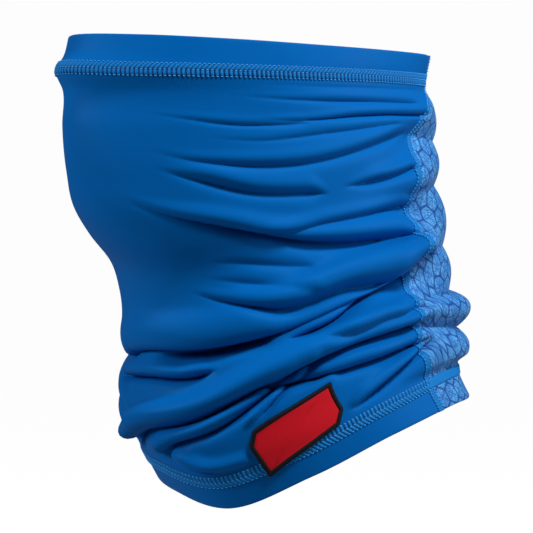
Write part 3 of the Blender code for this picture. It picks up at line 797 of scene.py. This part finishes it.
class GaiterSizes(bpy.types.PropertyGroup):
    """Sizes of the stitching and the finish"""

    stitch_pitch: bpy.props.FloatProperty(
        name="Stitch pitch",
        description="Distance between two rungs of the cover stitch",
        default=0.0026,
        min=0.001,
        subtype="DISTANCE",
        unit="LENGTH",
    )
    seam_pitch: bpy.props.FloatProperty(
        name="Seam pitch",
        description="Distance between two loops of the flat seam",
        default=0.0019,
        min=0.0005,
        subtype="DISTANCE",
        unit="LENGTH",
    )
    thread: bpy.props.FloatProperty(
        name="Thread radius",
        description="Radius of the needle thread",
        default=0.00027,
        min=0.00005,
        subtype="DISTANCE",
        unit="LENGTH",
    )
    patch_rise: bpy.props.FloatProperty(
        name="Patch rise",
        description="Thickness of the patch",
        default=0.0010,
        min=0.0003,
        subtype="DISTANCE",
        unit="LENGTH",
    )
    panel_rows: bpy.props.IntProperty(
        name="Rows",
        description="Rows of points down each panel",
        default=235,
        min=20,
        max=400,
    )
    panel_columns: bpy.props.IntProperty(
        name="Columns",
        description="Columns of points across the front panel",
        default=208,
        min=40,
        max=600,
    )


def colour_property(name, description, default):
    """A colour that a user can change."""
    return bpy.props.FloatVectorProperty(
        name=name, description=description, default=default, size=4, min=0.0, max=1.0, subtype="COLOR"
    )


class GaiterColours(bpy.types.PropertyGroup):
    """Colours of the cloth, thread and patch"""

    front: colour_property("Front", "Front panel", (0.001, 0.135, 0.480, 1.0))
    front_deep: colour_property("Front, deep", "Deeper blue of the front", (0.0005, 0.115, 0.430, 1.0))
    back: colour_property("Back", "Lighter yarn of the back", (0.120, 0.450, 0.900, 1.0))
    back_deep: colour_property("Back, deep", "Darker yarn of the back", (0.012, 0.165, 0.540, 1.0))
    print_line: colour_property("Print", "Lines of the print", (0.001, 0.050, 0.260, 1.0))
    thread: colour_property("Thread", "Ridges of the stitching", (0.006, 0.200, 0.600, 1.0))
    # The deep thread colour is painted shade in the grooves of the stitching and seams
    thread_groove_shade: colour_property("Thread, deep", "Grooves of the stitching", (0.0006, 0.030, 0.150, 1.0))
    needle: colour_property("Needle thread", "Thread of the dashes", (0.090, 0.400, 0.850, 1.0))
    patch: colour_property("Patch", "Face of the patch", (0.720, 0.006, 0.018, 1.0))
    border: colour_property("Border", "Border of the patch", (0.008, 0.008, 0.013, 1.0))


def shared_groups():
    """The node groups that several materials use, made once."""
    groups = bpy.data.node_groups
    if "knit_loops" not in groups:
        knit_group()
        heather_group()
        cell_group()
    return {
        "knit": groups["knit_loops"],
        "heather": groups["heather_flecks"],
        "cells": groups["cell_print"],
    }


def material_for(key, colours):
    """One of the gaiter's materials, made the first time it is asked for."""
    groups = shared_groups()
    makers = {
        "front_knit_cloth": lambda: front_material(colours, groups),
        "back_knit_cloth": lambda: back_material(colours, groups),
        "stitch_thread": lambda: thread_material(
            "stitch_thread", colours.thread_groove_shade, colours.thread, groups
        ),
        "needle_thread": lambda: thread_material(
            "needle_thread", colours.needle, colours.needle, groups
        ),
        # Patch and border get darker copies of their colours, painted shade in the hollows of their weave
        "patch_weave": lambda: woven_material(
            "patch_weave", colours.patch, [0.8 * part for part in colours.patch[:3]] + [1.0], (2200.0, 2200.0), 0.00005
        ),
        "border_satin": lambda: woven_material(
            "border_satin", colours.border, [0.4 * part for part in colours.border[:3]] + [1.0], (2200.0, 300.0), 0.00015
        ),
    }
    found = bpy.data.materials.get(key)
    return found or makers[key]()


def spaced(first, last, count):
    """Evenly spaced rows between two rows of drops."""
    return first + (last - first) * np.linspace(0.0, 1.0, count)[:, None]


def panel_grid(turn_of, columns, rows):
    """Turns and drops of a panel from one cover stitch to the other."""
    share = np.linspace(0.0, 1.0, columns)[None, :]
    level = turn_of(share, np.array([[1.0 - BOTTOM_HEM / LENGTH]]))
    drops = spaced(top_stitch(level), bottom_stitch(level), rows)
    return turn_of(share, drops), drops


def hem_grid(turn_of, columns, at_top):
    """Turns, drops and roundness of a hem. Near the rim the rows crowd together, and the
    share of the full thickness follows a quarter circle, so that the rim is round."""
    share = np.linspace(0.0, 1.0, columns)[None, :]
    level = turn_of(share, np.array([[1.0 - BOTTOM_HEM / LENGTH]]))
    angle = np.radians(np.linspace(8.0, 90.0, RIM_ROWS))
    rim = HEM_WALL / 2 * (1 - np.cos(angle))[:, None] / height(level)
    round_off = np.concatenate([np.sin(angle), np.ones(HEM_ROWS)])[:, None]
    if at_top:
        rest = spaced(rim[-1:], top_stitch(level), HEM_ROWS + 1)[1:]
        drops = np.concatenate([rim, rest])
    else:
        rest = spaced(1.0 - rim[-1:], bottom_stitch(level), HEM_ROWS + 1)[1:]
        drops = np.concatenate([1.0 - rim, rest])[::-1]
        round_off = round_off[::-1]
    return turn_of(share, drops), drops, round_off


def build_panel(context, side, turn_of, columns):
    """The panel between the cover stitches, with all of its folds."""
    colours = context.scene.gaiter_colours
    turns, drops = panel_grid(turn_of, columns, context.scene.gaiter_sizes.panel_rows)
    material = material_for(side + "_knit_cloth", colours)
    outer = CLOTH_WALL / 2
    name = side + "_panel_cloth"
    piece = cloth_shell(name, turns, drops, outer, outer - CLOTH_WALL, material)
    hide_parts(side + "_panel")


def build_hem(context, side, turn_of, columns, at_top):
    """A turned hem with a round rim."""
    colours = context.scene.gaiter_colours
    turns, drops, round_off = hem_grid(turn_of, columns, at_top)
    material = material_for(side + "_knit_cloth", colours)
    middle = CLOTH_WALL / 2 - HEM_WALL / 2
    reach = HEM_WALL / 2 * round_off[..., None]
    place = "top" if at_top else "bottom"
    name = side + "_" + place + "_hem_cloth"
    piece = cloth_shell(name, turns, drops, middle + reach, middle - reach, material)
    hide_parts(side + "_" + place + "_hem")


def around(middle_line, pitch, steps):
    """Turns evenly spaced by length round a line of the cloth, with a whole number of
    pitches in it, and the phase of each, which grows by one for each pitch."""
    turns = np.linspace(0.0, 360.0, 1441)
    line = cloth(turns, middle_line(turns))
    length = np.concatenate([[0.0], np.cumsum(np.linalg.norm(np.diff(line, axis=0), axis=1))])
    count = int(round(length[-1] / pitch))
    phase = np.arange(count * steps) / steps
    return np.interp(phase * length[-1] / count, length, turns), phase, length[-1]


def stitch_relief(phase, across, calm):
    """Height of the cover stitch from 0 to 1: upright rungs on one half, a low zigzag on the
    other, both rounded towards their ends; where calm is 1, fine even ribs instead."""
    rungs = ridge_pattern(phase, 1.3) * (1 - np.abs(2 * across - 1) ** 4)
    zigzag = ridge_pattern(phase + 0.8 * across, 1.1)
    zigzag = (0.15 + 0.85 * zigzag) * (1 - np.abs(2 * across + 1) ** 6)
    ribs = (0.6 + 0.25 * ridge_pattern(2.5 * phase, 1.0)) * (1 - np.abs(across) ** 8)
    return np.where(across > 0, rungs, zigzag) * (1 - calm) + ribs * calm


def on_back(turns, drops):
    """1 on the back panel and 0 on the front, easing over a degree at each seam."""
    across = np.mod(turns, 360.0) - near_seam(drops)
    return ease(across + 0.5) * ease(BACK_PANEL_ANGLE - across + 0.5)


def build_stitch(context, place, middle_line):
    """A cover stitch: a closed band over the joint, moulded into rungs, and three rows of
    needle thread on it. The rungs are on its lower half at the top and its upper half at
    the bottom, where it is narrower."""
    scene = context.scene
    sizes = scene.gaiter_sizes
    wide = STITCH_WIDTH / 2 * STITCH_SHARES[place]
    upright = 1.0 if place == "top" else -1.0
    turns, phase, length = around(middle_line, sizes.stitch_pitch, STITCH_STEPS)
    across = np.linspace(-1.0, 1.0, STITCH_COLUMNS)[:, None]
    drops = middle_line(turns)[None, :] + wide / height(turns)[None, :] * across
    turns = turns[None, :] + 0.0 * across
    middle = cloth(turns, drops)
    normals = closed_normals(middle)
    calm = on_back(turns, drops) if place == "bottom" else 0.0 * turns
    relief = stitch_relief(phase[None, :], upright * across, calm)
    offset = CLOTH_WALL / 2 - 0.0002 + STITCH_RISE * (0.35 * (1 - across**8) + 0.65 * relief)
    high = middle + normals * offset[..., None]
    low = middle + normals * (CLOTH_WALL / 2 - 0.0005)
    points = np.concatenate([high.reshape(-1, 3), low.reshape(-1, 3)])
    flat = np.stack([phase[None, :] * sizes.stitch_pitch + 0.0 * across, across * wide + 0.0 * turns], axis=-1)
    flat = flat.reshape(-1, 2)
    # Low relief takes the darker groove colour: painted shade in the band's grooves
    groove = GROOVE_UNSHADED_SHARES[place]
    unshaded_share = np.clip(groove + (1.2 - groove) * relief, 0.0, 1.0).ravel()
    band = new_piece(
        place + "_stitch_band",
        points,
        shell_faces(*turns.shape, True),
        material_for("stitch_thread", scene.gaiter_colours),
        np.concatenate([flat, flat]),
        {"ridge": np.concatenate([unshaded_share, 0.0 * unshaded_share])},
    )
    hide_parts(place + "_cover_stitch")
    count = int(phase[-1]) + 1
    ends = np.arange(count)[:, None] + DASH
    rows = []
    for row in (-0.95, 0.0, 0.95):
        dash_turns = np.interp(ends, phase, turns[0])
        dash_drops = middle_line(dash_turns) + wide * row / height(dash_turns)
        front = on_back(dash_turns[:, 2], dash_drops[:, 2]) < 0.5
        keep = front if place == "bottom" else np.full(count, True)
        rows.append((dash_turns[keep], dash_drops[keep]))
    thread_dashes(context, place + "_needle_thread", rows, [place + "_cover_stitch"])


def thread_dashes(context, name, rows, nodes):
    """Short round threads along rows of places, each arched over the band under it."""
    arch = DASH_RISE + DASH_ARCH * np.sin(np.linspace(0.0, np.pi, len(DASH)))
    parts = []
    first = 0
    for turns, drops in rows:
        ups = normal_of(cloth, turns, drops)
        paths = cloth(turns, drops) + ups * (CLOTH_WALL / 2 + arch)[None, :, None]
        parts.append(tubes(paths, ups, context.scene.gaiter_sizes.thread, NEEDLE_SIDES, first))
        first += len(parts[-1][0])
    points = np.concatenate([part[0] for part in parts])
    needle = new_piece(
        name,
        points,
        np.concatenate([part[1] for part in parts]),
        material_for("needle_thread", context.scene.gaiter_colours),
        points[:, :2],
        {"ridge": np.ones(len(points))},
    )
    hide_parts(*nodes)


def seam_relief(phase, across):
    """Height of the flat seam from 0 to 1: a zigzag of loops between two rows of dots."""
    loops = 0.2 + 0.7 * ridge_pattern(phase + np.abs(across) / 0.62, 0.9)
    dots = ridge_pattern(phase + 0.5, 0.8)
    edge = ease((np.abs(across) - 0.56) / 0.1)
    return (loops * (1 - edge) + dots * edge) * (1 - np.abs(across) ** 10)


def build_seam(context, side, seam, lengths):
    """A flat seam over one joint between the panels, in one length from rim to rim."""
    scene = context.scene
    pitch = scene.gaiter_sizes.seam_pitch
    line_drops = np.linspace(0.0, 1.0, 2001)
    line = cloth(seam(line_drops), line_drops)
    length = np.concatenate([[0.0], np.cumsum(np.linalg.norm(np.diff(line, axis=0), axis=1))])
    count = int(round(length[-1] / pitch)) * SEAM_STEPS
    run = np.linspace(0.0, length[-1], count)
    drops = np.interp(run, length, line_drops)[:, None]
    across = np.linspace(-1.0, 1.0, SEAM_COLUMNS)[None, :]
    tangent = cloth(seam(drops[:, 0]) + 0.5, drops[:, 0]) - cloth(seam(drops[:, 0]) - 0.5, drops[:, 0])
    degree = np.linalg.norm(tangent, axis=-1)[:, None]
    turns = seam(drops) + across * SEAM_WIDTH / 2 / degree
    drops = drops + 0.0 * across
    middle = cloth(turns, drops)
    normals = grid_normals(middle)
    phase = run[:, None] / pitch
    relief = seam_relief(phase, across)
    offset = CLOTH_WALL / 2 - 0.0002 + SEAM_RISE * (0.35 * (1 - across**8) + 0.65 * relief)
    high = middle + normals * offset[..., None]
    low = middle + normals * (CLOTH_WALL / 2 - 0.0005)
    points = np.concatenate([high.reshape(-1, 3), low.reshape(-1, 3)])
    flat = np.stack([run[:, None] + 0.0 * across, across * SEAM_WIDTH / 2 + 0.0 * turns], axis=-1)
    flat = flat.reshape(-1, 2)
    # Low relief takes the darker groove colour: painted shade in the seam's grooves
    unshaded_share = np.clip(0.4 + 0.8 * relief, 0.0, 1.0).ravel()
    piece = new_piece(
        side + "_flat_seam",
        points,
        shell_faces(*turns.shape, False),
        material_for("stitch_thread", scene.gaiter_colours),
        np.concatenate([flat, flat]),
        {"ridge": np.concatenate([unshaded_share, 0.0 * unshaded_share])},
    )
    nodes = [side + "_seam_" + part for part in lengths]
    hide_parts(*nodes)
    ends = (np.arange(int(length[-1] / pitch) - 1)[:, None] + 0.5 + DASH) * pitch
    dash_drops = np.interp(ends, length, line_drops)
    width = np.interp(dash_drops, drops[:, 0], degree[:, 0])
    rows = [(seam(dash_drops) + row * SEAM_WIDTH / 2 / width, dash_drops) for row in (-0.82, 0.82)]
    thread_dashes(context, side + "_seam_thread", rows, nodes)


def patch_outline(inset, count):
    """Closed outline of the patch, evenly spaced by length: a rectangle with two opposite
    corners cut off, all corners rounded by averaging the places nearby."""
    long_half = PATCH_LENGTH / 2
    short_half = PATCH_WIDTH / 2
    cut = PATCH_CORNER_CUT
    corners = np.array(
        [
            (-long_half, -short_half),
            (long_half - cut, -short_half),
            (long_half, -short_half + cut),
            (long_half, short_half),
            (-long_half + cut, short_half),
            (-long_half, short_half - cut),
            (-long_half, -short_half),
        ]
    )
    length = np.concatenate([[0.0], np.cumsum(np.linalg.norm(np.diff(corners, axis=0), axis=1))])
    run = np.arange(count) / count * length[-1]
    line = np.stack([np.interp(run, length, corners[:, k]) for k in (0, 1)], axis=-1)
    reach = int(round(0.0012 / length[-1] * count))
    line = sum(np.roll(line, shift, axis=0) for shift in range(-reach, reach + 1)) / (2 * reach + 1)
    ahead = np.roll(line, -1, axis=0) - np.roll(line, 1, axis=0)
    ahead = ahead / np.linalg.norm(ahead, axis=1, keepdims=True)
    inward = np.stack([-ahead[:, 1], ahead[:, 0]], axis=-1)
    return line + inward * inset, run


def patch_point(place, lift):
    """A place on the patch in metres along and across it, lifted off the cloth under it."""
    steps = place @ patch_frame().T
    turn = PATCH_TURN + steps[..., 0]
    drop = PATCH_DROP + steps[..., 1]
    edge = bottom_stitch(turn) - STITCH_WIDTH / 2 / height(turn)
    over = 0.0012 * ease((drop - edge + 0.064) / 0.056)
    total = CLOTH_WALL / 2 + 0.0002 + over + lift
    return cloth(turn, drop) + normal_of(form, turn, drop) * total[..., None]


class GAITER_OT_front_panel(bpy.types.Operator):
    """Builds the smooth front panel with its folds"""

    bl_idname = "gaiter.front_panel"
    bl_label = "Front Panel"

    def execute(self, context):
        columns = context.scene.gaiter_sizes.panel_columns
        build_panel(context, "front", front_turn, columns)
        return {"FINISHED"}


class GAITER_OT_back_panel(bpy.types.Operator):
    """Builds the printed back panel with its rolls"""

    bl_idname = "gaiter.back_panel"
    bl_label = "Back Panel"

    def execute(self, context):
        columns = int(context.scene.gaiter_sizes.panel_columns * 0.6)
        build_panel(context, "back", back_turn, columns)
        return {"FINISHED"}


class GAITER_OT_hems(bpy.types.Operator):
    """Builds the four turned hems"""

    bl_idname = "gaiter.hems"
    bl_label = "Hems"

    def execute(self, context):
        columns = context.scene.gaiter_sizes.panel_columns
        for at_top, front_flat, back_flat in ((True, *TOP_HEM_FLATS), (False, *BOTTOM_HEM_FLATS)):
            build_hem(context, "front", front_turn, columns, at_top)
            build_hem(context, "back", back_turn, columns // 2, at_top)
        return {"FINISHED"}


class GAITER_OT_seams(bpy.types.Operator):
    """Builds the flat seams between the panels"""

    bl_idname = "gaiter.seams"
    bl_label = "Flat Seams"

    def execute(self, context):
        for side, seam in (("left", near_seam), ("right", far_seam)):
            build_seam(context, side, seam, ("upper", "middle", "lower"))
        return {"FINISHED"}


class GAITER_OT_cover_stitches(bpy.types.Operator):
    """Builds the cover stitches over the hems' joints"""

    bl_idname = "gaiter.cover_stitches"
    bl_label = "Cover Stitches"

    def execute(self, context):
        build_stitch(context, "top", top_stitch)
        build_stitch(context, "bottom", bottom_stitch)
        return {"FINISHED"}


class GAITER_OT_patch(bpy.types.Operator):
    """Builds the bare woven patch and its stitched border"""

    bl_idname = "gaiter.patch"
    bl_label = "Patch"

    def execute(self, context):
        colours = context.scene.gaiter_colours
        rise = context.scene.gaiter_sizes.patch_rise
        inner, run = patch_outline(PATCH_BORDER * 0.8, OUTLINE_POINTS)
        share = np.linspace(1.0, 0.001, FACE_RINGS)[:, None, None]
        place = inner[None] * share
        high = patch_point(place, np.full(place.shape[:2], rise * 0.75))
        low = patch_point(place, np.full(place.shape[:2], 0.0))
        points = np.concatenate([high.reshape(-1, 3), low.reshape(-1, 3)])
        flat = np.concatenate([place.reshape(-1, 2)] * 2)
        faces = shell_faces(FACE_RINGS, OUTLINE_POINTS, True)
        face = new_piece(
            "patch_face_weave", points, faces, material_for("patch_weave", colours), flat
        )
        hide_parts("patch_face")
        angle = np.linspace(0.0, np.pi, BORDER_ROWS)
        inset = PATCH_BORDER * (0.5 - 0.5 * np.cos(angle))
        lift = rise * 1.25 * np.sin(angle) ** 0.6
        rings = np.stack([patch_outline(step, OUTLINE_POINTS)[0] for step in inset])
        high = patch_point(rings, lift[:, None] + np.zeros(rings.shape[:2]))
        low = patch_point(rings, np.full(rings.shape[:2], -0.0002))
        points = np.concatenate([high.reshape(-1, 3), low.reshape(-1, 3)])
        flat = np.stack([run[None, :] + 0.0 * inset[:, None], inset[:, None] + 0.0 * run], axis=-1)
        flat = np.concatenate([flat.reshape(-1, 2)] * 2)
        border = new_piece(
            "patch_border_satin",
            points,
            shell_faces(BORDER_ROWS, OUTLINE_POINTS, True),
            material_for("border_satin", colours),
            flat,
        )
        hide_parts("patch_border")
        return {"FINISHED"}


def camera_axes():
    """The directions from the object to the camera, to the picture's right and up."""
    angle = np.radians(CAMERA_TURN)
    back = np.array([np.sin(angle), -np.cos(angle), 0.0])
    right = np.array([np.cos(angle), np.sin(angle), 0.0])
    return back, right, np.array([0.0, 0.0, 1.0])


def add_light(name, place, target, size, power, colour):
    """A square area light that faces its target."""
    data = bpy.data.lights.new(name, "AREA")
    data.shape = "RECTANGLE"
    data.size, data.size_y = size
    data.energy = power
    data.color = colour
    light = bpy.data.objects.new(name, data)
    bpy.context.scene.collection.objects.link(light)
    light.location = place
    light.rotation_euler = Vector(target - place).to_track_quat("-Z", "Y").to_euler()
    return light


class GAITER_OT_stage(bpy.types.Operator):
    """Builds the floor, the lights and the camera"""

    bl_idname = "gaiter.stage"
    bl_label = "Stage"

    def execute(self, context):
        scene = context.scene
        back, right, up = camera_axes()
        middle = PICTURE_SIZE / 2
        target = right * (middle - ORIGIN_PIXEL[0]) * PIXEL - up * (middle - ORIGIN_PIXEL[1]) * PIXEL
        data = bpy.data.cameras.new("picture_camera")
        camera = bpy.data.objects.new("picture_camera", data)
        scene.collection.objects.link(camera)
        camera.location = target + back * CAMERA_DISTANCE
        camera.rotation_euler = Vector(-back).to_track_quat("-Z", "Y").to_euler()
        data.sensor_width = SENSOR * 1000
        data.sensor_fit = "HORIZONTAL"
        data.lens = SENSOR * 1000 * CAMERA_DISTANCE / (PICTURE_SIZE * PIXEL)
        scene.camera = camera
        heart = np.array([0.0, 0.0, -0.13])
        for name, (aside, near, high), size, power, colour in LIGHTS:
            place = heart + right * aside + back * near + up * high
            add_light(name, place, heart, size, power, colour)
        world = bpy.data.worlds.new("studio")
        world.use_nodes = True
        nodes = ShaderNodes(world.node_tree)
        sky = nodes.add("ShaderNodeBackground")
        seen = nodes.add("ShaderNodeLightPath").outputs["Is Camera Ray"]
        sky.inputs["Color"].default_value = (1.0, 1.0, 1.0, 1.0)
        nodes.feed(sky.inputs["Strength"], nodes.range(seen, 0.0, 1.0, WORLD_LIGHT, SKY_SEEN))
        nodes.feed(nodes.add("ShaderNodeOutputWorld").inputs["Surface"], sky.outputs[0])
        scene.world = world
        scene.view_settings.view_transform = "Standard"
        angle = np.linspace(0.0, 2 * np.pi, 96, endpoint=False)
        rim = np.stack([np.cos(angle), np.sin(angle), 0.0 * angle], axis=-1)
        points = np.concatenate([rim * FLOOR_REACH, rim * 0.01]) + np.array([0.0, 0.0, FLOOR_LEVEL])
        mesh = bpy.data.meshes.new("floor")
        mesh.from_pydata(points.tolist(), [], grid_faces(2, 96, True, 0, False).tolist())
        mesh.shade_smooth()
        material, nodes, shader = new_material("pale_floor", Roughness=0.8)
        grain = nodes.noise(nodes.add("ShaderNodeTexCoord").outputs["Object"], 30.0, 4.0)
        shade = nodes.blend(grain, (0.29, 0.29, 0.29, 1.0), (0.31, 0.31, 0.31, 1.0))
        nodes.feed(shader.inputs["Base Color"], shade)
        seen = nodes.add("ShaderNodeLightPath").outputs["Is Camera Ray"]
        shader.inputs["Emission Color"].default_value = (1.0, 1.0, 1.0, 1.0)
        nodes.feed(shader.inputs["Emission Strength"], nodes.math("MULTIPLY", seen, FLOOR_GLOW))
        mesh.materials.append(material)
        floor = bpy.data.objects.new("floor", mesh)
        scene.collection.objects.link(floor)
        return {"FINISHED"}


class GAITER_PT_panel(bpy.types.Panel):
    """The gaiter's sizes, colours and pieces"""

    bl_label = "Neck Gaiter"
    bl_idname = "GAITER_PT_panel"
    bl_space_type = "VIEW_3D"
    bl_region_type = "UI"
    bl_category = "Gaiter"

    def draw(self, context):
        layout = self.layout
        for group in (context.scene.gaiter_sizes, context.scene.gaiter_colours):
            box = layout.box()
            for key in group.__annotations__:
                box.prop(group, key)
        for operator in OPERATORS:
            layout.operator(operator.bl_idname)


OPERATORS = (
    GAITER_OT_cover_stitches,
    GAITER_OT_front_panel,
    GAITER_OT_back_panel,
    GAITER_OT_hems,
    GAITER_OT_seams,
    GAITER_OT_patch,
    GAITER_OT_stage,
)
CLASSES = (GaiterSizes, GaiterColours, *OPERATORS, GAITER_PT_panel)


def register():
    """Registers the classes and their settings on the scene."""
    for item in CLASSES:
        bpy.utils.register_class(item)
    bpy.types.Scene.gaiter_sizes = bpy.props.PointerProperty(type=GaiterSizes)
    bpy.types.Scene.gaiter_colours = bpy.props.PointerProperty(type=GaiterColours)


def unregister():
    """Takes the settings and the classes away again."""
    del bpy.types.Scene.gaiter_colours
    del bpy.types.Scene.gaiter_sizes
    for item in reversed(CLASSES):
        bpy.utils.unregister_class(item)


def main():
    """Builds every piece."""
    register()
    for operator in OPERATORS:
        module, name = operator.bl_idname.split(".")
        getattr(getattr(bpy.ops, module), name)()


if __name__ == "__main__":
    main()
